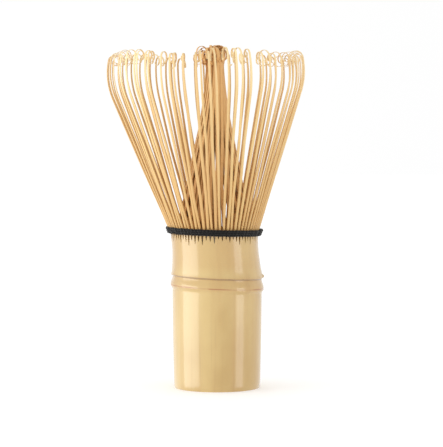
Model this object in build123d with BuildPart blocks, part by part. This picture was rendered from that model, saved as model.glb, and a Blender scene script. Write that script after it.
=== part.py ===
from build123d import *
import math
import os

# Bamboo tea whisk, modelled in millimetres. It stands on the cut end of its handle, at Z = 0, with the
# handle's axis on Z. One culm makes the handle and, above its node, splits into fine tines. A black
# thread wound round the split holds an outer ring of tines apart from a tuft of inner ones.

# ---- driving dimensions ----
# culm
grip_radius = 13.3          # outside just below the node
base_taper = 0.5            # the grip narrows by this much down to the cut end
taper_left = 0.3            # share of that narrowing that is left part way up the grip
taper_place = 0.45          # how far up that is, as a share of the node's height
base_round = 0.4            # outer edge of that cut
grip_wall = 3.7             # from the natural hollow to the outside of the grip
node_height = 30.2          # middle of the lower ridge of the node
ridge_stand = 0.65          # the ridge stands this far proud of the grip
ridge_half = 1.5            # half the height of the ridge
groove_stand = 0.1          # culm surface between ridge and lip, against the grip
lip_rise = 3.6              # sharp edge of the sheath scar, above the ridge's middle
lip_stand = 0.5             # the lip stands this far proud of the grip
lip_undercut = 0.35         # how far the scar's underside drops back below its edge
septum_drop = 0.2           # the hollow below ends this far under the ridge's upper side
septum_thickness = 2.0      # the wall that closes the culm at its node
skirt_depth = 0.6           # the neck's solid starts this far below the lip
neck_height = 12.6          # from the lip to the middle of the thread
waist_pinch = 0.4           # the neck is narrower than the grip by this much at its waist
waist_place = 0.5           # how far up the neck its waist is, as a share of the neck's height
lip_tangent = (-0.5, 1)     # way that the neck's outline leaves the lip
split_tangent = (0.02, 1)   # and way that it reaches the slits
split_pinch = 0.3           # and by this much where the slits begin
neck_wall = 3.4
split_drop = 0.5            # the culm ends this far below the middle of the thread
head_shift = -0.83          # the culm kinks at its node, so the neck stands off the handle's axis
slit_width = 0.2
slit_depths = (2.6, 1.7, 3.2, 2.1)  # below the split, in turn round the neck

# outer tines
sector_count = 18           # pieces that the culm is first split into
tines_per_sector = 4        # outer tines in each, and as many inner ones
outer_width = 0.8
outer_thickness = 1.0       # at its root
outer_stand = 0.2           # outer face at its root, against the outside of the split
outer_flare = 20.7          # lean of an outer tine away from the whisk's axis, degrees
head_lean = -2.7            # the ring of outer tines leans this much towards +X, degrees
clump = 0.5                 # how far neighbours in a sector lean together, degrees for each place
flare_play = 0.4            # tines differ from one another by up to this much in flare, degrees
aside_play = 0.3            # in their lean sideways, degrees
length_play = 0.006         # in the length of their straight part, as a share of it
curl_play = 0.1             # and in the size and the turn of their curl, as a share
root_depth = 0.2            # tines reach this far below the middle of the thread

# thread
thread_radius = 0.32        # half the thickness of the wound thread
thread_gap = 0.2            # between the thread and the tines that it goes round
culm_gap = 0.09             # least gap between the lowest round and the culm
round_gap = 0.015           # between one round and the next
weave_thickness = 0.2       # half the thickness of the round between outer and inner tines
weave_gap = 0.28            # between that round and the outer tines
knot_radius = 0.65
knot_gap = 0.02             # between the knot and the round that it is tied to
knot_azimuth = 105          # degrees round the band

# inner tuft
inner_width = 0.54
inner_thickness = 0.3       # at its root
stem_thickness = 0.26       # where it starts to bow
bow_thickness = 0.2         # where it is upright
inner_gap = 0.17            # between the outermost inner tines and the thread between the rings
inner_rise = 0.9            # inner tines start this far above the middle of the thread
inner_reach = 49.6          # height over which they close in on each other
bow_start = 0.38            # share of that height, at its top, over which they bow upright
bow_turn = 0.74             # share of their slant that they lose there
hook_shrink = 0.12          # share that a hook is smaller by, for each millimetre of height given up
layer_gap = 0.15            # between the roots of one layer and the next
closing_gap = 0.06          # between neighbours in a layer, side to side, if they closed fully
tuft_shift = -0.3           # the tuft closes this much off the middle of the thread, along X

# ---- sizes that follow from those ----
base_radius = grip_radius - base_taper
bore_radius = grip_radius - grip_wall
node_radius = grip_radius + ridge_stand
groove_radius = grip_radius + groove_stand
lip_radius = grip_radius + lip_stand
neck_radius = grip_radius - waist_pinch
split_radius = grip_radius - split_pinch
neck_bore_radius = split_radius - neck_wall
lip_height = node_height + lip_rise
band_height = lip_height + neck_height
split_height = band_height - split_drop
septum_low = node_height + ridge_half - septum_drop
septum_high = septum_low + septum_thickness
outer_radius = split_radius + outer_stand
bow_share = 1 - bow_start * bow_turn / 2    # an unbowed tine would close in this much of the height
weave_radius = outer_radius - outer_thickness - weave_gap - weave_thickness
first_layer_radius = weave_radius - weave_thickness - inner_gap - inner_thickness / 2
layer_step = inner_thickness + layer_gap
tine_count = sector_count * tines_per_sector
tine_pitch = 360 / tine_count
flare_slope = math.tan(math.radians(outer_flare))
thread_spacing = (2 * thread_radius + round_gap) * math.cos(math.radians(outer_flare))
thread_start = thread_radius + max(     # clear of the tines, and of the culm below them
    outer_radius + thread_gap, split_radius + culm_gap + thread_spacing * flare_slope
)

# A stretch of a tine's centre line is (length, turn in degrees, thickness at its end). A positive turn
# bends it towards the axis of the whisk.
straight_stretches = [(20.0, 0.0, 0.62), (23.0, 0.5, 0.40)]
bend_stretches = [(7.5, 18.5, 0.26), (4.4, 12.0, 0.20)]
curl_stretches = [(3.9, 132.0, 0.15), (3.0, 128.0, 0.13), (1.9, 108.0, 0.12)]
hook_stretches = [(2.6, -21.0, 0.20), (2.2, 16.0, 0.17), (1.1, 105.0, 0.14), (0.5, 48.0, 0.12)]
# A layer of the tuft is (turn round the axis, room that its hooks need inside them, height that it
# gives up). The first layer is the outermost. Roots take their layers in this order, over and over.
tuft_layers = [
    (15.0, 0.88, 0.0),
    (-12.0, 0.59, 0.5),
    (10.0, 0.42, 1.0),
    (-8.0, 0.25, 1.5),
]
layer_order = (0, 1, 0, 2, 1, 0, 3, 2, 1, 0, 1, 2, 0, 3, 0, 2, 1, 3)

head = Location((head_shift, 0, band_height))
neck_tilt = math.degrees(math.atan(head_shift / neck_height))


def wobble(number, salt):
    """A repeatable figure from -1 to 1 that makes each tine a little different from the next."""
    return math.sin(number * 12.9898 + salt * 78.233)


def step_along(point, heading, length, turn):
    """The end of an arc of that length and turn, and the heading there, in degrees."""
    half = math.radians(turn / 2)
    chord = length if turn == 0 else length * math.sin(half) / half
    way = math.radians(heading) + half
    return (point[0] + chord * math.cos(way), point[1] + chord * math.sin(way)), heading + turn


def beside(point, heading, distance):
    """A point off the centre line, to the right of the heading."""
    way = math.radians(heading - 90)
    return (point[0] + distance * math.cos(way), point[1] + distance * math.sin(way))


def split_tine(plane, start, heading, thickness, stretches, width):
    """Adds one tine to the part being built: its side view on plane, given width across it."""
    faces = {1: [], -1: []}
    point = start
    for length, turn, end_thickness in stretches:
        middle, middle_heading = step_along(point, heading, length / 2, turn / 2)
        end, end_heading = step_along(point, heading, length, turn)
        for side, edges in faces.items():
            edges.append(
                (
                    beside(point, heading, side * thickness / 2),
                    beside(middle, middle_heading, side * (thickness + end_thickness) / 4),
                    beside(end, end_heading, side * end_thickness / 2),
                )
            )
        point, heading, thickness = end, end_heading, end_thickness
    with BuildSketch(plane) as side_view:
        with BuildLine():
            for edges in faces.values():
                for (first, middle, last), (_, turn, _) in zip(edges, stretches):
                    if turn == 0:
                        Line(first, last)
                    else:
                        ThreePointArc(first, middle, last)
            Line(faces[1][0][0], faces[-1][0][0])
            Line(faces[1][-1][2], faces[-1][-1][2])
        make_face()
    extrude(side_view.sketch, amount=width / 2, both=True)


def scaled(stretches, length_scale, turn_scale):
    """The same stretches, longer or tighter."""
    return [(s * length_scale, turn * turn_scale, t) for s, turn, t in stretches]


def write(part, name):
    part.label = name
    export_step(part, f"parts/{name}.step")


os.makedirs("parts", exist_ok=True)

# ---- handle: the culm, its node, the septum inside it and the slit neck ----
neck_plane = Plane(Location((0, 0, lip_height), (0, neck_tilt, 0)) * Rotation(90, 0, 0))
neck_axis = Axis((0, 0, lip_height), Location((0, 0, 0), (0, neck_tilt, 0)).z_axis.direction)

with BuildPart() as culm_handle:
    with BuildSketch(Plane.XZ):
        with BuildLine():
            foot = Line((0, 0), (base_radius, 0))
            grip = ThreePointArc(
                foot @ 1,
                (grip_radius - base_taper * taper_left, node_height * taper_place),
                (grip_radius, node_height - ridge_half),
            )
            ridge = ThreePointArc(
                grip @ 1, (node_radius, node_height), (groove_radius, node_height + ridge_half)
            )
            groove = Line(ridge @ 1, (groove_radius, lip_height - lip_undercut))
            lip = Line(groove @ 1, (lip_radius, lip_height))
            top = Line(lip @ 1, (0, lip_height))
            Line(top @ 1, foot @ 0)
        make_face()
    revolve(axis=Axis.Z)
    # the neck stands a little off upright, because the culm kinks at its node
    with BuildSketch(neck_plane):
        with BuildLine():
            skirt = Line((0, -skirt_depth), (groove_radius - groove_stand, -skirt_depth))
            edge = Line(skirt @ 1, (lip_radius, 0))
            waist = Spline(
                edge @ 1,
                (neck_radius, neck_height * waist_place),
                (split_radius, neck_height),
                tangents=(lip_tangent, split_tangent),
            )
            crown = Line(waist @ 1, (0, neck_height))
            Line(crown @ 1, (0, -skirt_depth))
        make_face()
    revolve(axis=neck_axis)
    split(bisect_by=Plane.XY.offset(split_height), keep=Keep.BOTTOM)
    with BuildSketch(Plane.XY):
        Circle(bore_radius)
    extrude(amount=septum_low, mode=Mode.SUBTRACT)
    with BuildSketch(Plane(head)):
        Circle(neck_bore_radius)
    extrude(amount=septum_high - band_height, mode=Mode.SUBTRACT)
    base_edges = culm_handle.edges().filter_by(GeomType.CIRCLE).group_by(Axis.Z)[0]
    fillet(base_edges.sort_by(SortBy.RADIUS)[-1], radius=base_round)
    slit_reach = (outer_radius - neck_bore_radius) * 2
    for turn_number, slit_depth in enumerate(slit_depths):
        slits_here = tine_count // len(slit_depths)
        first_slit = turn_number * tine_pitch   # between one outer tine and the next
        with Locations(Location((head_shift, 0, split_height))):
            with PolarLocations((outer_radius + neck_bore_radius) / 2, slits_here, first_slit):
                Box(slit_reach, slit_width, slit_depth * 2, mode=Mode.SUBTRACT)
write(culm_handle.part, "culm_handle")

# ---- thread: three rounds outside the tines, one between them, and the knot ----
for name, place in (("lower", -1), ("middle", 0), ("upper", 1)):
    height = place * thread_spacing
    with BuildPart() as thread_round:
        with BuildSketch(Plane(head * Rotation(90, 0, 0))):
            with Locations((thread_start + height * flare_slope, height)):
                Circle(thread_radius)
        revolve(axis=Axis((head_shift, 0, 0), (0, 0, 1)))
    write(thread_round.part, f"thread_round_{name}")

with BuildPart() as thread_weave:
    with BuildSketch(Plane(head * Rotation(90, 0, 0))):
        with Locations((weave_radius, 0)):
            Circle(weave_thickness)
    revolve(axis=Axis((head_shift, 0, 0), (0, 0, 1)))
write(thread_weave.part, "thread_weave")

knot_reach = thread_start + thread_radius + knot_gap + knot_radius
with BuildPart() as thread_knot:
    with Locations(head * Rotation(0, 0, knot_azimuth) * Location((knot_reach, 0, -knot_radius))):
        Sphere(knot_radius)
write(thread_knot.part, "thread_knot")

# ---- tines: a sector of the culm gives four outer tines and, between them, four inner ones ----
root_radius = outer_radius - outer_thickness / 2
for sector in range(sector_count):
    with BuildPart() as outer_tines:
        for place in range(tines_per_sector):
            number = sector * tines_per_sector + place
            azimuth = (number + 0.5) * tine_pitch
            # the whole ring leans to one side, which is flare for some tines and sideways for others
            lean_out = head_lean * math.cos(math.radians(azimuth))
            lean_aside = head_lean * math.sin(math.radians(azimuth))
            flare = outer_flare + lean_out + flare_play * wobble(number, 2)
            off_middle = place - (tines_per_sector - 1) / 2
            sideways = lean_aside + clump * off_middle + aside_play * wobble(number, 1)
            plane = Plane(
                head
                * Rotation(0, 0, azimuth)
                * Location((root_radius, 0, 0))
                * Rotation(90 + sideways, 0, 0)
            )
            longer = math.cos(math.radians(outer_flare)) / math.cos(math.radians(flare))
            longer += length_play * wobble(number, 3)
            curl_size = 1 + curl_play * wobble(number, 4)
            curl_turn = 1 + curl_play * wobble(number, 5)
            stretches = (
                scaled(straight_stretches, longer, 1)
                + scaled(bend_stretches, 1, 1 + lean_out / outer_flare)
                + scaled(curl_stretches, curl_size, curl_turn)
            )
            start = (-root_depth * flare_slope, -root_depth)
            split_tine(plane, start, 90 - flare, outer_thickness, stretches, outer_width)
    write(outer_tines.part, f"outer_tines_{sector + 1:02d}")

    with BuildPart() as inner_tines:
        for place in range(tines_per_sector):
            number = sector * tines_per_sector + place
            azimuth = (number + 1) * tine_pitch
            # tines of one layer close evenly spaced, in the order of their roots
            repeat, slot_number = divmod(number, len(layer_order))
            layer = layer_order[slot_number]
            layer_size = layer_order.count(layer)
            rank = repeat * layer_size + layer_order[:slot_number].count(layer)
            root = first_layer_radius - layer * layer_step
            twist, hook_room, shorter = tuft_layers[layer]
            tines_in_layer = tine_count * layer_size / len(layer_order)
            closed = tines_in_layer * (inner_width + closing_gap) / math.tau + hook_room
            closing_azimuth = (rank + 0.5) / layer_size * 360 * len(layer_order) / tine_count
            turn = math.radians(closing_azimuth + twist - azimuth)
            shift_turn = math.radians(-azimuth)
            across = (
                closed * math.cos(turn) + tuft_shift * math.cos(shift_turn) - root,
                closed * math.sin(turn) + tuft_shift * math.sin(shift_turn),
            )
            heading_turn = math.degrees(math.atan2(-across[1], -across[0]))
            rise = inner_reach - shorter
            closing = math.degrees(math.atan(math.hypot(*across) / (rise * bow_share)))
            plane = Plane(
                head
                * Rotation(0, 0, azimuth)
                * Location((root, 0, inner_rise))
                * Rotation(0, 0, heading_turn)
                * Rotation(90, 0, 0)
            )
            straight_length = rise * (1 - bow_start) / math.cos(math.radians(closing))
            stretches = [
                (straight_length, 0.0, stem_thickness),
                (rise * bow_start, -closing * bow_turn, bow_thickness),
            ] + scaled(hook_stretches, 1 - hook_shrink * shorter, 1)
            split_tine(plane, (0, 0), 90 + closing, inner_thickness, stretches, inner_width)
    write(inner_tines.part, f"inner_tines_{sector + 1:02d}")
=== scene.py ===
import math

import bpy
from mathutils import Matrix, Vector


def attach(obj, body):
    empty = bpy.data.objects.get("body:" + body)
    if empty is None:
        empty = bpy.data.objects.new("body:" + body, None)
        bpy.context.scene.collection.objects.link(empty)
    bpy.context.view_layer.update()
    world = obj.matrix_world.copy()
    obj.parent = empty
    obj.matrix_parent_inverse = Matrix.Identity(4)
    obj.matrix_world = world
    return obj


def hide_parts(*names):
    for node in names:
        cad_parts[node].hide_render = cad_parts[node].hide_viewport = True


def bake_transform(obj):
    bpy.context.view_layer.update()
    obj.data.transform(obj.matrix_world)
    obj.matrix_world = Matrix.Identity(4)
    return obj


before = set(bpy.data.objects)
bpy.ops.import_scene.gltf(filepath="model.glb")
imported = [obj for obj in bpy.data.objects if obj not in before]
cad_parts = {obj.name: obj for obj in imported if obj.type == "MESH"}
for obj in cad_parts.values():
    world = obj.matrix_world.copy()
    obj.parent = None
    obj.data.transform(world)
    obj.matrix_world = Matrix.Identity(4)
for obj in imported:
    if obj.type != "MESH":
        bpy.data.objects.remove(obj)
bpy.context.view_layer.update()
print("frame loaded")

mm = 0.001


def wobble(number, salt):  # a repeatable figure from -1 to 1
    return math.sin(number * 12.9898 + salt * 78.233)


def clearSelection():
    if bpy.context.mode != "OBJECT":
        bpy.ops.object.mode_set(mode="OBJECT")
    bpy.ops.object.select_all(action="DESELECT")


def makeActive(piece):
    clearSelection()
    piece.select_set(True)
    bpy.context.view_layer.objects.active = piece


def startEditing(piece, keep=None):  # keep picks the vertices to work on; without it, all are selected
    makeActive(piece)
    if keep is not None:
        for part in (piece.data.vertices, piece.data.edges, piece.data.polygons):
            part.foreach_set("select", [False] * len(part))
        for corner in piece.data.vertices:
            corner.select = keep(corner.co)
    bpy.ops.object.mode_set(mode="EDIT")
    bpy.ops.mesh.select_mode(type="VERT")
    if keep is None:
        bpy.ops.mesh.select_all(action="SELECT")


def copyOf(piece, name):
    made = piece.copy()
    made.data = piece.data.copy()
    made.name = made.data.name = name
    bpy.context.scene.collection.objects.link(made)
    return made


def joinAll(pieces, name):
    clearSelection()
    for piece in pieces:
        piece.select_set(True)
    bpy.context.view_layer.objects.active = pieces[0]
    if len(pieces) > 1:
        bpy.ops.object.join()
    pieces[0].name = pieces[0].data.name = name
    return pieces[0]


def smoothed(piece, angle):
    makeActive(piece)
    bpy.ops.object.shade_smooth_by_angle(angle=math.radians(angle))
    return piece


def removeAll(pieces):
    for piece in pieces:
        bpy.data.objects.remove(piece)


def tagPoints(piece, name, kind, values):  # a value or vector for each vertex, for the materials
    layer = piece.data.attributes.new(name, kind, "POINT")
    if kind == "FLOAT_VECTOR":
        layer.data.foreach_set("vector", [part for value in values for part in value])
    else:
        layer.data.foreach_set("value", list(values))


class Wire:
    # one socket, so that shader maths reads as plain arithmetic
    def __init__(self, shader, socket):
        self.shader, self.socket = shader, socket

    def maths(self, operation, *given):
        return self.shader.add("ShaderNodeMath", {"operation": operation}, dict(enumerate(given)))

    def __add__(self, other): return self.maths("ADD", self, other)
    def __radd__(self, other): return self.maths("ADD", other, self)
    def __sub__(self, other): return self.maths("SUBTRACT", self, other)
    def __rsub__(self, other): return self.maths("SUBTRACT", other, self)
    def __mul__(self, other): return self.maths("MULTIPLY", self, other)
    def __rmul__(self, other): return self.maths("MULTIPLY", other, self)
    def __truediv__(self, other): return self.maths("DIVIDE", self, other)
    def __rtruediv__(self, other): return self.maths("DIVIDE", other, self)

    def between(self, low, high, smooth=True):  # 0 below low, 1 above high
        kind = "SMOOTHSTEP" if smooth else "LINEAR"
        return self.shader.add("ShaderNodeMapRange", {"interpolation_type": kind},
                               {"Value": self, "From Min": low, "From Max": high})

    def kept(self):  # within 0 to 1
        return self.shader.add("ShaderNodeClamp", {}, {"Value": self})

    def size(self):  # without its sign
        return self.maths("ABSOLUTE", self)

    def sine(self):
        return self.maths("SINE", self)


class Shader:
    # a material being built; add() takes a node's type, its settings, then its sockets
    def __init__(self, name):
        self.material = bpy.data.materials.new(name)
        self.material.use_nodes = True
        self.tree = self.material.node_tree
        self.surface = self.tree.nodes["Principled BSDF"]

    def node(self, kind, settings=None, sockets=None):
        made = self.tree.nodes.new(kind)
        for key, value in (settings or {}).items():
            setattr(made, key, value)
        for key, value in (sockets or {}).items():
            self.plug(made.inputs[key], value)
        return made

    def plug(self, socket, value):
        if isinstance(value, Wire):
            self.tree.links.new(value.socket, socket)
        else:
            socket.default_value = value

    def add(self, kind, settings=None, sockets=None, out=0):
        return Wire(self, self.node(kind, settings, sockets).outputs[out])

    def mix(self, share, first, second):  # of two colours
        made = self.node("ShaderNodeMix", {"data_type": "RGBA"}, {"Factor": share})
        self.plug(made.inputs[6], first)
        self.plug(made.inputs[7], second)
        return Wire(self, made.outputs[2])

    def stretched(self, place, scale):  # place is a vector wire, scale one figure for each axis
        return self.add("ShaderNodeMapping", {}, {"Vector": place, "Scale": scale})

    def attribute(self, name):  # a vector that the mesh carries
        return self.add("ShaderNodeAttribute", {"attribute_name": name}, {}, "Vector")

    def parts(self, vector):  # its three figures
        split = self.node("ShaderNodeSeparateXYZ", {}, {0: vector})
        return [Wire(self, socket) for socket in split.outputs]

    def bump(self, height, strength, distance):
        return self.add("ShaderNodeBump", {}, {"Strength": strength, "Distance": distance, "Height": height})

    def noise(self, place, scale=1.0, detail=2.0, rough=0.5):
        return self.add("ShaderNodeTexNoise", {},
                        {"Vector": place, "Scale": scale, "Detail": detail, "Roughness": rough})

    def finish(self, **sockets):
        for key, value in sockets.items():
            self.plug(self.surface.inputs[key.replace("_", " ")], value)
        return self.material


def tint(red, green, blue):  # screen colours, 0 to 255, as a linear colour
    shares = [channel / 255 for channel in (red, green, blue)]
    return tuple(c / 12.92 if c <= 0.04045 else ((c + 0.055) / 1.055) ** 2.4 for c in shares) + (1.0,)


culmFinish = {
    "pale": tint(202, 174, 114),
    "warm": tint(184, 151, 90),
    "nodeTone": tint(178, 132, 72),
    "scar": tint(120, 84, 64),
    "crease": tint(158, 92, 50),
    "endGrain": tint(214, 184, 132),
    "pore": tint(120, 78, 40),
    "roughness": 0.34,
    # heights in millimetres: the crest of the ridge, the lip of the scar, the browner band between them,
    # from where it starts to where it is full and back, and where the neck's colour is darkened as painted
    # shade
    "crest": 30.28, "lip": 33.15, "bandStarts": (28.9, 30.2), "bandEnds": (33.0, 34.4), "neck": (34.0, 37.5),
    "nodeTilt": 0.045,
}


def culmSkin():
    look = culmFinish
    s = Shader("bambooSkin")
    at = s.add("ShaderNodeTexCoord", {}, {}, "Object")
    sideways, _, upwards = s.parts(at)
    height = upwards / mm
    fibres = s.noise(s.stretched(at, (900, 900, 14)), 1.0, 3.0, 0.6)
    streaks = s.noise(s.stretched(at, (230, 230, 9)), 1.0, 2.0)
    clouds = s.noise(s.stretched(at, (60, 60, 34)), 1.0, 3.0)
    colour = s.mix(clouds.between(0.35, 0.7), look["pale"], look["warm"])
    colour = s.mix(streaks.between(0.45, 0.8) * 0.35, colour, look["nodeTone"])
    colour = s.mix(fibres.between(0.5, 0.95) * 0.22, colour, look["scar"])
    # the band between ridge and lip is browner, the neck is darkened as painted shade, the crest is scarred,
    # and the lip's edge is darkened by its scar and by painted shadow under the lip's overhang
    tiltedHeight = height + sideways / mm * look["nodeTilt"]
    ragged = (s.noise(s.stretched(at, (260, 260, 260)), 1.0, 3.0) - 0.5) * 0.9
    edge = tiltedHeight + ragged
    band = edge.between(*look["bandStarts"]) * (1 - edge.between(*look["bandEnds"]))
    colour = s.mix(band * 0.24, colour, look["nodeTone"])
    # painted shade: the neck's colour is darkened, as it faces the light more than the grip
    colour = s.mix(height.between(*look["neck"]) * 0.24, colour, look["nodeTone"])
    lipScarAndShadow = 1 - (tiltedHeight - look["lip"] + ragged * 0.2).size().between(0.05, 0.4)
    crestLine = 1 - (tiltedHeight - look["crest"] + ragged * 0.3).size().between(0.04, 0.3)
    broken = s.noise(s.stretched(at, (150, 150, 60)), 1.0, 2.0).between(0.38, 0.6)
    # the lip's dark line: its scar, plus painted shadow under the overhanging lip
    colour = s.mix(lipScarAndShadow * 0.6, colour, look["scar"])
    colour = s.mix(crestLine * (broken * 0.6 + 0.15), colour, look["crease"])
    # end grain and the inside of the culm
    _, _, facing = s.parts(s.add("ShaderNodeNewGeometry", {}, {}, "Normal"))
    down = (facing * -1).between(0.8, 0.95)
    pores = s.add("ShaderNodeTexVoronoi", {}, {"Vector": s.stretched(at, (1, 1, 0)), "Scale": 1500.0})
    cut = s.mix((1 - pores.between(0.12, 0.3)) * 0.8, look["endGrain"], look["pore"])
    colour = s.mix(down, colour, cut)
    relief = fibres * 0.5 + streaks * 0.6 + clouds * 0.6
    bump = s.bump(relief, 0.10, 0.0004)
    rough = look["roughness"] + fibres.between(0.3, 0.8) * 0.12 + band * 0.08
    return s.finish(Base_Color=colour, Roughness=rough, Normal=bump, Coat_Weight=1.0, Coat_Roughness=0.14)


tineFinish = {
    "root": tint(210, 172, 110),
    "middle": tint(226, 194, 134),
    "tip": tint(248, 228, 178),
    "edge": tint(200, 152, 90),
    # painted shade for the tines' inner faces
    "hollow": tint(184, 128, 66),
    # the tuft's colours are darker and more orange than the outer tines': painted shade for the inside of the
    # ring
    "innerRootShaded": tint(208, 150, 80),
    "innerMiddleShaded": tint(222, 176, 112),
    "innerTipShaded": tint(222, 174, 112),
}


def tineWood(name, root, middle, tip):
    look = tineFinish
    s = Shader(name)
    grainAt = s.attribute("grainAt")
    along, tone, skin = s.parts(s.attribute("tineFacts"))
    fibres = s.noise(s.stretched(grainAt, (5200, 5200, 60)), 1.0, 3.0, 0.6)
    streaks = s.noise(s.stretched(grainAt, (1500, 1500, 25)), 1.0, 2.0)
    colour = s.mix(along.between(0.0, 0.5), root, middle)
    colour = s.mix(along.between(0.55, 1.0), colour, tip)
    colour = s.mix(streaks.between(0.4, 0.75) * 0.45, colour, look["edge"])
    colour = s.mix(fibres.between(0.55, 0.9) * 0.3, colour, look["edge"])
    # painted shade: the inner faces darken towards the root, between the tines
    colour = s.mix((1 - skin) * (0.85 - along * 0.6), colour, look["hollow"])
    colour = s.mix(tone.between(0.0, 1.0, False) * 0.35, colour, look["edge"])
    bump = s.bump(fibres + streaks * 0.5, 0.25, 0.00008)
    rough = 0.42 + (1 - skin) * 0.2 + fibres * 0.1
    return s.finish(Base_Color=colour, Roughness=rough, Normal=bump)


threadFinish = {"dark": tint(8, 8, 8), "lit": tint(33, 31, 28), "twist": 0.9}  # millimetres for each turn


def blackThread():
    look = threadFinish
    s = Shader("blackCotton")
    around, section, _ = s.parts(s.attribute("threadAt"))
    ply = (around * (math.tau / look["twist"]) + section).sine()
    at = s.add("ShaderNodeTexCoord", {}, {}, "Object")
    fuzz = s.noise(s.stretched(at, (5000, 5000, 5000)), 1.0, 3.0, 0.7)
    colour = s.mix((ply * 0.25 + fuzz * 0.6).kept(), look["dark"], look["lit"])
    bump = s.bump(ply * 0.5 + fuzz * 0.6, 0.8, 0.0001)
    return s.finish(Base_Color=colour, Roughness=0.9, Normal=bump, Sheen_Weight=0.15, Specular_IOR_Level=0.25)


skinMaterial = culmSkin()
outerMaterial = tineWood("outerTineBamboo", *[tineFinish[key] for key in ("root", "middle", "tip")])
# the tuft's copy of the tine wood, darker and more orange as painted shade
shadedInnerKeys = ("innerRootShaded", "innerMiddleShaded", "innerTipShaded")
shadedInnerMaterial = tineWood("innerTineBambooShaded", *[tineFinish[key] for key in shadedInnerKeys])
threadMaterial = blackThread()
print("materials ready")


headShift = -0.83  # the neck stands off the grip's axis by this much where the thread is
bandHeight = 46.4  # middle of the thread

culm = {
    "around": 144,
    # height, radius, tilt in degrees, higher on the left, and shift along X, from the cut end upwards
    "outline": [
        (0.08, 12.7, 0, 0), (0.3, 12.8, 0, 0), (2.0, 12.86, 0, 0), (6, 12.98, 0, 0), (11, 13.1, 0, 0),
        (16, 13.19, 0, 0), (21, 13.26, 0, 0), (25, 13.3, 0.8, 0), (27.4, 13.33, 2.0, 0),
        (28.7, 13.35, 3.0, 0),
        (29.15, 13.4, 3.0, 0), (29.4, 13.55, 3.0, 0), (29.75, 13.8, 3.0, 0), (30.1, 13.93, 3.0, 0),
        (30.28, 13.88, 3.0, 0), (30.5, 13.92, 2.9, 0), (31.0, 13.84, 2.7, 0), (31.6, 13.62, 2.5, 0),
        (32.2, 13.4, 2.3, 0), (32.7, 13.28, 2.2, 0), (33.0, 13.24, 2.2, 0), (33.12, 13.34, 2.2, 0),
        (33.18, 13.7, 2.2, 0), (33.34, 13.8, 2.2, 0), (33.6, 13.72, 2.0, -0.03), (34.4, 13.5, 1.6, -0.08),
        (35.6, 13.3, 1.0, -0.16), (37, 13.14, 0.5, -0.25),
        (38.6, 13.0, 0, -0.35), (40.4, 12.87, 0, -0.47), (42.4, 12.86, 0, -0.6), (44, 12.93, 0, -0.7),
        (45.9, 13.0, 0, -0.83),
    ],
    "edgeRadius": 12.55,  # flat of the cut end
    "bore": 9.6, "boreDepth": 31.5, "boreCorner": 0.8,
    "septumTop": 33.5, "septumCorner": 0.6, "septumDish": 0.2, "septumMiddle": 4.0,
    # the slits are wedges that narrow downwards, and their depths are taken in turn round the neck
    "slits": 72, "slitTop": 46.2, "slitOvershoot": 0.6, "slitWidth": 0.86, "slitNarrows": 0.15,
    "slitRadius": 13.2, "slitLength": 3, "slitDepths": (2.0, 1.5, 2.4, 1.3, 1.8, 2.6, 1.2),
    # where the lip is chipped or wanders: degrees round from +X, outwards, upwards and reach
    "lipRadius": 13.8, "lipHeight": 33.3, "lipDrop": 0.5, "lipGrab": 0.55,
    "lipMarks": [(-6, 0.3, 0.45, 1.1), (-38, 0.05, -0.25, 3.0), (-75, 0.05, 0.2, 4.0), (-118, 0.0, -0.2, 3.5),
                 (-160, 0.1, 0.25, 3.0), (150, 0.1, -0.3, 4.0), (95, 0.05, 0.3, 4.0), (45, 0.0, -0.2, 4.0)],
}


def growRing(height, radius, before, tilt=0.0, shift=0.0):
    # draws the selected ring out to the next height and radius, leaning to one side
    lastHeight, lastRadius, lastTilt, lastShift = before
    middle = (shift * mm, 0, height * mm)
    move = ((shift - lastShift) * mm, 0, (height - lastHeight) * mm)
    bpy.ops.mesh.extrude_region_move(TRANSFORM_OT_translate={"value": move})
    size = radius / lastRadius
    bpy.ops.transform.resize(value=(size, size, 1), center_override=middle)
    if tilt != lastTilt:
        turn = math.radians(lastTilt - tilt)
        bpy.ops.transform.rotate(value=turn, orient_axis="Y", center_override=middle)
    return height, radius, tilt, shift


def makeCulm():
    look = culm
    clearSelection()
    flat = look["edgeRadius"]
    bpy.ops.mesh.primitive_circle_add(vertices=look["around"], radius=flat * mm, location=(0, 0, 0))
    piece = bpy.context.object
    startEditing(piece)
    foot = now = (0.0, flat, 0.0, 0.0)
    for height, radius, tilt, shift in look["outline"]:
        now = growRing(height, radius, now, tilt, shift)
    # over the split's edge, down the hollow neck and across the septum
    now = growRing(now[0], look["bore"], now, 0, now[3])
    now = growRing(look["septumTop"] + look["septumCorner"], look["bore"], now, 0, 0)
    now = growRing(look["septumTop"], look["bore"] - look["septumCorner"], now)
    now = growRing(look["septumTop"] - look["septumDish"], look["septumMiddle"], now)
    bpy.ops.mesh.edge_face_add()
    # from the cut end, up the bore to the septum's underside
    bpy.ops.object.mode_set(mode="OBJECT")
    startEditing(piece, lambda co: co.z < 0.01 * mm and abs(co.length - flat * mm) < 0.01 * mm)
    now = growRing(0.0, look["bore"], foot)
    now = growRing(look["boreDepth"] * 0.5, look["bore"] - 0.01, now)
    now = growRing(look["boreDepth"] - look["boreCorner"], look["bore"], now)
    now = growRing(look["boreDepth"], look["bore"] - look["boreCorner"], now)
    now = growRing(look["boreDepth"] + look["septumDish"], look["septumMiddle"], now)
    bpy.ops.mesh.edge_face_add()
    bpy.ops.mesh.select_all(action="SELECT")
    bpy.ops.mesh.remove_doubles(threshold=0.000001)
    bpy.ops.mesh.normals_make_consistent(inside=False)
    bpy.ops.object.mode_set(mode="OBJECT")
    return piece


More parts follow.
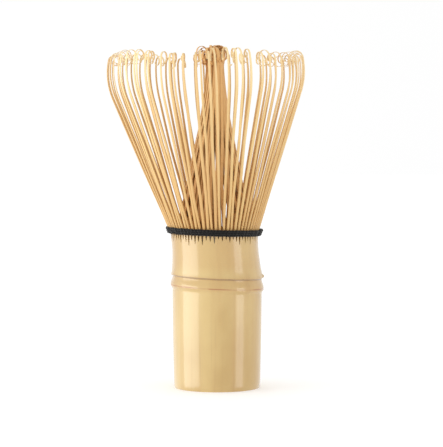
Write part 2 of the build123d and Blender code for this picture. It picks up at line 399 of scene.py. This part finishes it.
def chipLip(piece):
    look = culm
    for around, outwards, upwards, reach in look["lipMarks"]:
        way = Vector((math.cos(math.radians(around)), math.sin(math.radians(around)), 0))
        height = look["lipHeight"] - way.x * look["lipDrop"]
        spot = (way * look["lipRadius"] + Vector((0, 0, height))) * mm
        startEditing(piece, lambda co: (co - spot).length < look["lipGrab"] * mm)
        bpy.ops.transform.translate(value=(way * outwards + Vector((0, 0, upwards))) * mm,
                                    use_proportional_edit=True, use_proportional_connected=True,
                                    proportional_edit_falloff="SHARP", proportional_size=reach * mm)
        bpy.ops.object.mode_set(mode="OBJECT")


def cutSlits(piece):
    # a wedge for each slit, pinched to a point at its foot
    look = culm
    wedges = []
    for number in range(look["slits"]):
        depth = look["slitDepths"][number % len(look["slitDepths"])] * (1 + 0.2 * wobble(number, 11))
        azimuth = math.radians((number + 0.15 * wobble(number, 12)) * 360 / look["slits"])
        if not wedges:
            bpy.ops.mesh.primitive_cube_add(size=mm, location=(0, 0, 0))
            pattern = bpy.context.object
            startEditing(pattern, lambda co: co.z < 0)
            bpy.ops.transform.resize(value=(1, look["slitNarrows"], 1), center_override=(0, 0, -0.5 * mm))
            bpy.ops.object.mode_set(mode="OBJECT")
        wedge = copyOf(pattern, "slitWedge")
        place = Matrix.Translation((headShift * mm, 0, look["slitTop"] * mm))
        place = place @ Matrix.Rotation(azimuth, 4, "Z")
        place = place @ Matrix.Translation((look["slitRadius"] * mm, 0, -depth / 2 * mm))
        size = Matrix.Diagonal((look["slitLength"], look["slitWidth"], depth + look["slitOvershoot"], 1))
        wedge.data.transform(place @ size)
        wedges.append(wedge)
    removeAll([pattern])
    cutter = joinAll(wedges, "slitCutter")
    makeActive(piece)
    bpy.ops.object.modifier_add(type="BOOLEAN")
    cut = piece.modifiers[-1]
    cut.operation, cut.solver, cut.object = "DIFFERENCE", "EXACT", cutter
    bpy.ops.object.modifier_apply(modifier=cut.name)
    removeAll([cutter])


culmPiece = makeCulm()
chipLip(culmPiece)
cutSlits(culmPiece)
culmPiece.name = culmPiece.data.name = "culmHandle"
smoothed(culmPiece, 40)
culmPiece.data.materials.append(skinMaterial)
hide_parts("culm_handle")
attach(culmPiece, "handle")
print("culm made")


def growStrip(name, lean, width, thickness, stretches):
    # a stretch is (length, turn inwards, thickness, width, sideways drift, steps), all at its end
    clearSelection()
    bpy.ops.mesh.primitive_plane_add(size=mm, location=(0, 0, 0))
    strip = bpy.context.object
    startEditing(strip)
    bpy.ops.transform.resize(value=(thickness, width, 1), center_override=(0, 0, 0))
    bpy.ops.mesh.bevel(offset=thickness * 0.22 * mm, affect="VERTICES")
    bpy.ops.transform.rotate(value=-math.radians(lean), orient_axis="Y", center_override=(0, 0, 0))
    point, travelled = Vector((0, 0, 0)), 0.0
    rings = [(point.copy(), lean, 0.0)]
    for length, turn, endThickness, endWidth, drift, steps in stretches:
        for step in range(1, steps + 1):
            middleLean = math.radians(lean - turn / steps / 2)
            stride = length / steps * mm
            aside = drift / steps * mm
            move = Vector((math.sin(middleLean) * stride, aside, math.cos(middleLean) * stride))
            nextThickness = thickness + (endThickness - thickness) / (steps - step + 1)
            nextWidth = width + (endWidth - width) / (steps - step + 1)
            thinner, narrower = nextThickness / thickness, nextWidth / width
            point += move
            lean -= turn / steps
            travelled += stride
            bpy.ops.mesh.extrude_region_move(TRANSFORM_OT_translate={"value": move})
            onwards = math.radians(turn / steps)
            bpy.ops.transform.rotate(value=onwards, orient_axis="Y", center_override=point)
            bpy.ops.transform.resize(value=(thinner, narrower, thinner), center_override=point)
            thickness, width = nextThickness, nextWidth
            rings.append((point.copy(), lean, travelled))
    bpy.ops.mesh.select_all(action="SELECT")
    bpy.ops.mesh.normals_make_consistent(inside=False)
    bpy.ops.object.mode_set(mode="OBJECT")
    strip.name = strip.data.name = name
    # where each vertex is on the strip: across it, through it and along it
    grain, facts = [], []
    for corner in strip.data.vertices:
        centre, ringLean, along = min(rings, key=lambda ring: (ring[0] - corner.co).length_squared)
        outwards = Vector((math.cos(math.radians(ringLean)), 0, -math.sin(math.radians(ringLean))))
        off = corner.co - centre
        through = off.dot(outwards)
        grain.append((off.y, through, along))
        facts.append((along / travelled, 0.0, 1.0 if through > 0 else 0.0))
    tagPoints(strip, "grainAt", "FLOAT_VECTOR", grain)
    tagPoints(strip, "tineFacts", "FLOAT_VECTOR", facts)
    return strip


def placeStrip(pattern, number, tone, place):
    # a copy with a tone and a stretch of grain of its own
    strip = copyOf(pattern, "strip")
    count = len(strip.data.vertices)
    flat = [0.0] * count * 3
    for name, axis, shift in (("tineFacts", 1, tone), ("grainAt", 2, number * 0.137)):
        layer = strip.data.attributes[name].data
        layer.foreach_get("vector", flat)
        flat[axis::3] = [value + shift for value in flat[axis::3]]
        layer.foreach_set("vector", flat)
    strip.data.transform(place)
    return strip


tineCount, sectorCount = 72, 18
tinePitch = math.tau / tineCount

outerTine = {
    # middle of the root, and how far it reaches below the thread's middle
    "radius": 12.7, "depth": 0.2,
    # degrees: flare, lean of the whole ring along X, and of neighbours in a sector towards each other
    "flare": 20.7, "lean": -2.7, "clump": 0.5,
    "width": 0.72, "thickness": 1.0, "shapes": 6,
    # how much more the tines flare that are built for each side of the ring, and where a side starts
    "sides": {"Left": 2.2, "Middle": 0.0, "Right": -2.2}, "sideStarts": 1.3,
    "straighter": 2.2,  # the less flared side stays straight for this much longer
}


def outerShape(name, shape, leanOut):
    look = outerTine
    flare = look["flare"] + leanOut
    longer = math.cos(math.radians(look["flare"])) / math.cos(math.radians(flare))
    curl = 1 + 0.14 * wobble(shape, 1)
    wind = 1 + 0.16 * wobble(shape, 2)
    drift = (0.75 if shape % 2 else -0.75) * (1 + 0.3 * wobble(shape, 3))
    slim = 1 + 0.10 * wobble(shape, 4)
    bow = 1.2 * wobble(shape, 5)
    side = 0.35 * wobble(shape, 6)
    slack = 0.5  # turn of the long straight stretch
    bend = (flare - slack) / (look["flare"] - slack)
    later = look["straighter"] if leanOut < 0 else 0.0
    return growStrip(name, flare, look["width"] * slim, look["thickness"], [
        (12.0 * longer, -bow, 0.74, 0.78 * slim, side, 3),
        (16.0 * longer, bow, 0.52, 0.78 * slim, -side, 4),
        (14.7 * longer + later, slack, 0.38, 0.70 * slim, side, 4),
        (7.5 - later, 18.5 * bend, 0.26, 0.60 * slim, 0.0, 5),
        (4.4, 12.0 * bend, 0.19, 0.56, 0.0, 3),
        (3.9 * curl, 132 * wind, 0.14, 0.56, drift * 0.4, 8),
        (3.0 * curl, 128 * wind, 0.12, 0.52, drift * 0.4, 7),
        (1.9 * curl, 108 * wind, 0.10, 0.44, drift * 0.3, 5),
    ])


def makeOuterTines():
    look = outerTine
    patterns = {}
    for side, leanOut in look["sides"].items():
        for shape in range(look["shapes"]):
            patterns[side, shape] = outerShape(f"outer{side}{shape}", shape + len(patterns) * 7, leanOut)
    slope = math.tan(math.radians(look["flare"]))
    for sector in range(sectorCount):
        strips = []
        for place in range(4):
            number = sector * 4 + place
            azimuth = (number + 0.5) * tinePitch
            leanOut, leanAside = look["lean"] * math.cos(azimuth), look["lean"] * math.sin(azimuth)
            side = "Middle"
            if abs(leanOut) > look["sideStarts"]:
                side = "Left" if leanOut > 0 else "Right"
            sideways = leanAside + look["clump"] * (place - 1.5) + 0.45 * wobble(number, 21)
            outwards = leanOut - look["sides"][side] + 0.4 * wobble(number, 22)
            pattern = patterns[side, (number * 5 + sector) % look["shapes"]]
            at = Matrix.Translation((headShift * mm, 0, bandHeight * mm)) @ Matrix.Rotation(azimuth, 4, "Z")
            foot = ((look["radius"] - look["depth"] * slope) * mm, 0, -look["depth"] * mm)
            at = at @ Matrix.Translation(foot) @ Matrix.Rotation(math.radians(sideways), 4, "X")
            at = at @ Matrix.Rotation(math.radians(outwards), 4, "Y")
            at = at @ Matrix.Diagonal((1, 1, 1 + 0.008 * wobble(number, 23), 1))
            strips.append(placeStrip(pattern, number, 0.5 + 0.5 * wobble(number, 24), at))
        piece = smoothed(joinAll(strips, f"outerTines{sector + 1:02d}"), 50)
        piece.data.materials.append(outerMaterial)
        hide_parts(f"outer_tines_{sector + 1:02d}")
        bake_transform(piece)
    removeAll(list(patterns.values()))


makeOuterTines()
print("outer tines made")


tuft = {
    # height of the roots over the thread's middle, height over which the tuft closes, and where along X
    # it does so, for the layers that tuck their tips in and for those that roll them out
    "rise": 0.9, "reach": 49.6, "closesAt": 0.3, "rollsAt": -0.7, "width": 0.84, "thickness": 0.30,
    # radius at the root, where it closes, turn round the axis and height given up, outermost layer first;
    # the last two close beyond the axis, so that their tips roll out over the other side
    "layers": [
        (11.2, 2.15, 15, 0.6),
        (10.75, 1.6, -14, 0.2),
        (10.3, -0.5, 12, -1.0),
        (9.85, -1.2, -10, -2.2),
    ],
    "tuckedLayers": 2,
    "order": (0, 1, 0, 2, 1, 0, 3, 2, 1, 0, 1, 2, 0, 3, 0, 2, 1, 3),  # layers, from root to root
    # degrees that a pattern slants by, share of its slant that it loses as it bows upright, and share of
    # the height in which an unbowed one would close as far
    "slant": 11.0, "bow": 0.74, "bowShare": 0.86, "shapes": 4,
}


def innerShape(name, shape, layer):
    slant = tuft["slant"]
    reach = tuft["reach"] - tuft["layers"][layer][3]
    curl = 1 + 0.16 * wobble(shape, 31)
    wind = 1 + 0.18 * wobble(shape, 32)
    swell = 24 * (1 + 0.4 * wobble(shape, 33))
    drift = 1.0 * wobble(shape, 34)
    slim = 1 + 0.14 * wobble(shape, 35)
    side = 0.6 * wobble(shape, 36)
    stem = [(reach * 0.30, -0.8, 0.27, 0.84 * slim, side, 3),
            (reach * 0.32, 0.8, 0.24, 0.80 * slim, -side, 4),
            (reach * 0.38, -slant * tuft["bow"], 0.20, 0.76 * slim, side * 0.5, 6)]
    tucked = [(2.0, -swell, 0.18, 0.74 * slim, drift * 0.2, 3),
              (2.0, swell + 10, 0.16, 0.74 * slim, drift * 0.3, 3),
              (4.4 * curl, 165 * wind, 0.14, 0.70 * slim, drift * 0.5, 8),
              (2.2 * curl, 110 * wind, 0.12, 0.62, drift * 0.4, 5)]
    rolled = [(2.4, 26 * wind, 0.18, 0.78 * slim, drift * 0.2, 3),
              (5.0 * curl, 175 * wind, 0.16, 0.78 * slim, drift * 0.3, 10),
              (3.3 * curl, 160 * wind, 0.13, 0.74 * slim, drift * 0.5, 8),
              (1.6 * curl, 110 * wind, 0.11, 0.60, drift * 0.3, 4)]
    tip = tucked if layer < tuft["tuckedLayers"] else rolled
    return growStrip(name, -slant, tuft["width"] * slim, tuft["thickness"], stem + tip)


def makeTuft():
    look = tuft
    patterns = {}
    for layer in range(len(look["layers"])):
        for shape in range(look["shapes"]):
            patterns[layer, shape] = innerShape(f"inner{layer}{shape}", shape * 3 + layer * 17, layer)
    order = look["order"]
    for sector in range(sectorCount):
        strips = []
        for place in range(4):
            number = sector * 4 + place
            azimuth = (number + 1) * tinePitch
            repeat, slotNumber = divmod(number, len(order))
            layer = order[slotNumber]
            rank = repeat * order.count(layer) + order[:slotNumber].count(layer)
            root, closed, twist, shorter = look["layers"][layer]
            closing = (rank + 0.5) / order.count(layer) * math.tau * len(order) / tineCount
            closing += math.radians(twist + 8 * wobble(number, 41))
            turn = closing - azimuth
            closed *= 1 + 0.18 * wobble(number, 43)
            middle = look["closesAt"] if layer < look["tuckedLayers"] else look["rollsAt"]
            across = Vector((closed * math.cos(turn) + middle * math.cos(azimuth) - root,
                             closed * math.sin(turn) - middle * math.sin(azimuth)))
            heading = math.atan2(-across.y, -across.x)
            rise = (look["reach"] - shorter) * look["bowShare"]
            slant = math.degrees(math.atan(across.length / rise))
            at = Matrix.Translation((headShift * mm, 0, bandHeight * mm)) @ Matrix.Rotation(azimuth, 4, "Z")
            at = at @ Matrix.Translation((root * mm, 0, look["rise"] * mm)) @ Matrix.Rotation(heading, 4, "Z")
            at = at @ Matrix.Rotation(math.radians(look["slant"] - slant), 4, "Y")
            at = at @ Matrix.Diagonal((1, 1, 1 + 0.012 * wobble(number, 44), 1))
            pattern = patterns[layer, (number * 3 + sector) % look["shapes"]]
            strips.append(placeStrip(pattern, number + 100, 0.5 + 0.5 * wobble(number, 42), at))
        piece = smoothed(joinAll(strips, f"innerTines{sector + 1:02d}"), 50)
        piece.data.materials.append(shadedInnerMaterial)
        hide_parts(f"inner_tines_{sector + 1:02d}")
        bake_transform(piece)
    removeAll(list(patterns.values()))


makeTuft()
print("tuft made")


thread = {
    "thickness": 0.70,
    # name, node, radius, and height over the band's middle
    "rounds": [
        ("Lower", "thread_round_lower", 13.54, -0.28),
        ("Middle", "thread_round_middle", 13.76, 0.28),
        ("Upper", "thread_round_upper", 13.96, 0.84),
    ],
    "weave": (11.75, 0.3, 0.3),  # radius, height and half thickness of the round between the tines
    "tilt": 1.4,  # degrees that the band is lower on the right
    # over each tine the thread stands out and is taller; it was wound by hand, so it wanders a little
    "swell": 1.014, "fatten": 1.18, "wander": 0.13, "bends": 20, "bendGrab": 0.7, "bendReach": 2.4,
}


def makeRound(name, radius, height, section):
    look = thread
    clearSelection()
    bpy.ops.mesh.primitive_torus_add(major_radius=radius * mm, minor_radius=section * mm,
                                     major_segments=288, minor_segments=12, location=(0, 0, 0))
    piece = bpy.context.object
    startEditing(piece, lambda co: math.cos(math.atan2(co.y, co.x) * tineCount + math.pi) > 0.2)
    bpy.ops.transform.resize(value=(look["swell"], look["swell"], look["fatten"]), center_override=(0, 0, 0))
    bpy.ops.object.mode_set(mode="OBJECT")
    tags = []
    for corner in piece.data.vertices:
        flatRadius = math.hypot(corner.co.x, corner.co.y)
        around = math.atan2(corner.co.y, corner.co.x) * radius
        tags.append((around, math.atan2(corner.co.z, flatRadius - radius * mm), 0.0))
    tagPoints(piece, "threadAt", "FLOAT_VECTOR", tags)
    for number in range(look["bends"]):
        turn = number * 0.314 + 0.12 * wobble(number, height + 50)
        way = Vector((math.cos(turn), math.sin(turn), 0))
        startEditing(piece, lambda co: (co - way * radius * mm).length < look["bendGrab"] * mm)
        stray = way * 0.4 * wobble(number, 53 + height) + Vector((0, 0, wobble(number, 51 + height)))
        bpy.ops.transform.translate(value=stray * look["wander"] * mm,
                                    use_proportional_edit=True, proportional_edit_falloff="SMOOTH",
                                    proportional_size=look["bendReach"] * mm)
        bpy.ops.object.mode_set(mode="OBJECT")
    place = Matrix.Translation((headShift * mm, 0, bandHeight * mm))
    place = place @ Matrix.Rotation(math.radians(look["tilt"]), 4, "Y")
    piece.data.transform(place @ Matrix.Translation((0, 0, height * mm)))
    piece.name = piece.data.name = name
    return piece


def finishThread(piece, node):
    smoothed(piece, 60)
    piece.data.materials.append(threadMaterial)
    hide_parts(node)
    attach(piece, "handle")


knot = {
    "azimuth": 105, "radius": 14.71, "height": -0.65, "loop": 0.40, "thickness": 0.46,
    "loops": [(35, 1.0), (-40, 0.92), (90, 0.8)],  # each one's slant in degrees, and its size
    # tails: length, lean away from upright in degrees, to one side and then to the other
    "tails": [(1.3, 128), (1.0, -146)], "tailSteps": 4, "tailThins": 0.97,
}


def makeKnot():
    # three tight loops that cross, with two cut ends hanging from under them
    look = knot
    half = look["thickness"] / 2 * mm
    lumps = []
    for slant, size in look["loops"]:
        clearSelection()
        bpy.ops.mesh.primitive_torus_add(major_radius=look["loop"] * size * mm, minor_radius=half,
                                         major_segments=28, minor_segments=12, location=(0, 0, 0))
        lump = bpy.context.object
        startEditing(lump)
        bpy.ops.transform.resize(value=(1.0, 1.15, 1.0), center_override=(0, 0, 0))
        bpy.ops.transform.rotate(value=math.radians(slant), orient_axis="X", center_override=(0, 0, 0))
        bpy.ops.object.mode_set(mode="OBJECT")
        lumps.append(lump)
    for length, lean in look["tails"]:
        clearSelection()
        bpy.ops.mesh.primitive_circle_add(vertices=12, radius=half, fill_type="NGON", location=(0, 0, 0))
        tail = bpy.context.object
        startEditing(tail)
        stride = length / look["tailSteps"] * mm
        for step in range(look["tailSteps"]):
            bpy.ops.mesh.extrude_region_move(TRANSFORM_OT_translate={"value": (0, 0, stride)})
            end = (0, 0, (step + 1) * stride)
            bpy.ops.transform.resize(value=(look["tailThins"], look["tailThins"], 1.0), center_override=end)
        bpy.ops.mesh.select_all(action="SELECT")
        bpy.ops.mesh.normals_make_consistent(inside=False)
        bpy.ops.transform.rotate(value=math.radians(lean), orient_axis="X", center_override=(0, 0, 0))
        bpy.ops.object.mode_set(mode="OBJECT")
        lumps.append(tail)
    piece = joinAll(lumps, "threadKnot")
    tags = []
    for corner in piece.data.vertices:
        x, y, z = corner.co
        tags.append(((y + z) / mm, math.atan2(x, z), 0.0))
    tagPoints(piece, "threadAt", "FLOAT_VECTOR", tags)
    place = Matrix.Translation((headShift * mm, 0, bandHeight * mm))
    place = place @ Matrix.Rotation(math.radians(look["azimuth"]), 4, "Z")
    piece.data.transform(place @ Matrix.Translation((look["radius"] * mm, 0, look["height"] * mm)))
    return piece


for roundName, node, radius, height in thread["rounds"]:
    finishThread(makeRound(f"threadRound{roundName}", radius, height, thread["thickness"] / 2), node)
finishThread(makeRound("threadWeave", *thread["weave"]), "thread_weave")
finishThread(makeKnot(), "thread_knot")
print("thread made")


studio = {
    # the floor gives back a little light of its own, so that it is as pale as the room
    "floor": 3.0, "floorTone": (0.9, 0.9, 0.9, 1), "floorGlow": 0.2,
    # the room is white, a little dimmer in front and to the right
    "room": 0.97, "roomFade": (-0.10, 0.035, 0.0),
    # azimuth from the front, to the right, and elevation, in degrees; distance, width and height in
    # metres; watts
    "panels": {"windowLeft": (-73, -2, 1.1, 1.0, 0.8, 6.4), "panelRight": (61, -3, 1.2, 0.46, 0.8, 2.6)},
    "panelAim": 0.06,
}


def makeStage():
    clearSelection()
    look = studio
    bpy.ops.mesh.primitive_circle_add(vertices=96, radius=look["floor"], fill_type="NGON", location=(0, 0, 0))
    floor = bpy.context.object
    floor.name = "floor"
    # the panels' long reflections reach down to the grip's foot, through the floor
    floor.visible_glossy = floor.visible_shadow = False
    s = Shader("paleFloor")
    floor.data.materials.append(s.finish(Base_Color=look["floorTone"], Roughness=0.9,
                                         Emission_Color=(1, 1, 1, 1), Emission_Strength=look["floorGlow"]))
    world = bpy.context.scene.world or bpy.data.worlds.new("room")
    bpy.context.scene.world = world
    world.use_nodes = True
    nodes, links = world.node_tree.nodes, world.node_tree.links
    way, fade = nodes.new("ShaderNodeTexCoord"), nodes.new("ShaderNodeVectorMath")
    fade.operation = "DOT_PRODUCT"
    fade.inputs[1].default_value = look["roomFade"]
    lift = nodes.new("ShaderNodeMath")
    lift.inputs[1].default_value = look["room"]
    links.new(way.outputs["Generated"], fade.inputs[0])
    links.new(fade.outputs["Value"], lift.inputs[0])
    links.new(lift.outputs[0], nodes["Background"].inputs["Strength"])
    nodes["Background"].inputs["Color"].default_value = (1, 1, 1, 1)
    for name, (azimuth, elevation, distance, width, tall, power) in look["panels"].items():
        a, e = math.radians(azimuth), math.radians(elevation)
        towards = Vector((math.sin(a) * math.cos(e), -math.cos(a) * math.cos(e), math.sin(e)))
        panel = bpy.data.lights.new(name, "AREA")
        panel.shape, panel.size, panel.size_y, panel.energy = "RECTANGLE", width, tall, power
        lamp = bpy.data.objects.new(name, panel)
        lamp.location = Vector((0, 0, look["panelAim"])) + towards * distance
        lamp.rotation_euler = towards.to_track_quat("Z", "Y").to_euler()
        bpy.context.scene.collection.objects.link(lamp)


makeStage()

view = {"distance": 600, "height": 76, "aimX": 1.3, "aimZ": 48.9, "lens": 162.5, "sensor": 36}
camera = bpy.data.objects.new("camera", bpy.data.cameras.new("camera"))
bpy.context.scene.collection.objects.link(camera)
camera.data.lens, camera.data.sensor_width = view["lens"], view["sensor"]
camera.data.clip_start, camera.data.clip_end = 0.05, 20
camera.location = Vector((view["aimX"], -view["distance"], view["height"])) * mm
aim = Vector((view["aimX"], 0, view["aimZ"])) * mm
camera.rotation_euler = (aim - camera.location).to_track_quat("-Z", "Y").to_euler()
bpy.context.scene.camera = camera
bpy.context.scene.view_settings.view_transform = "Standard"
print("camera set")
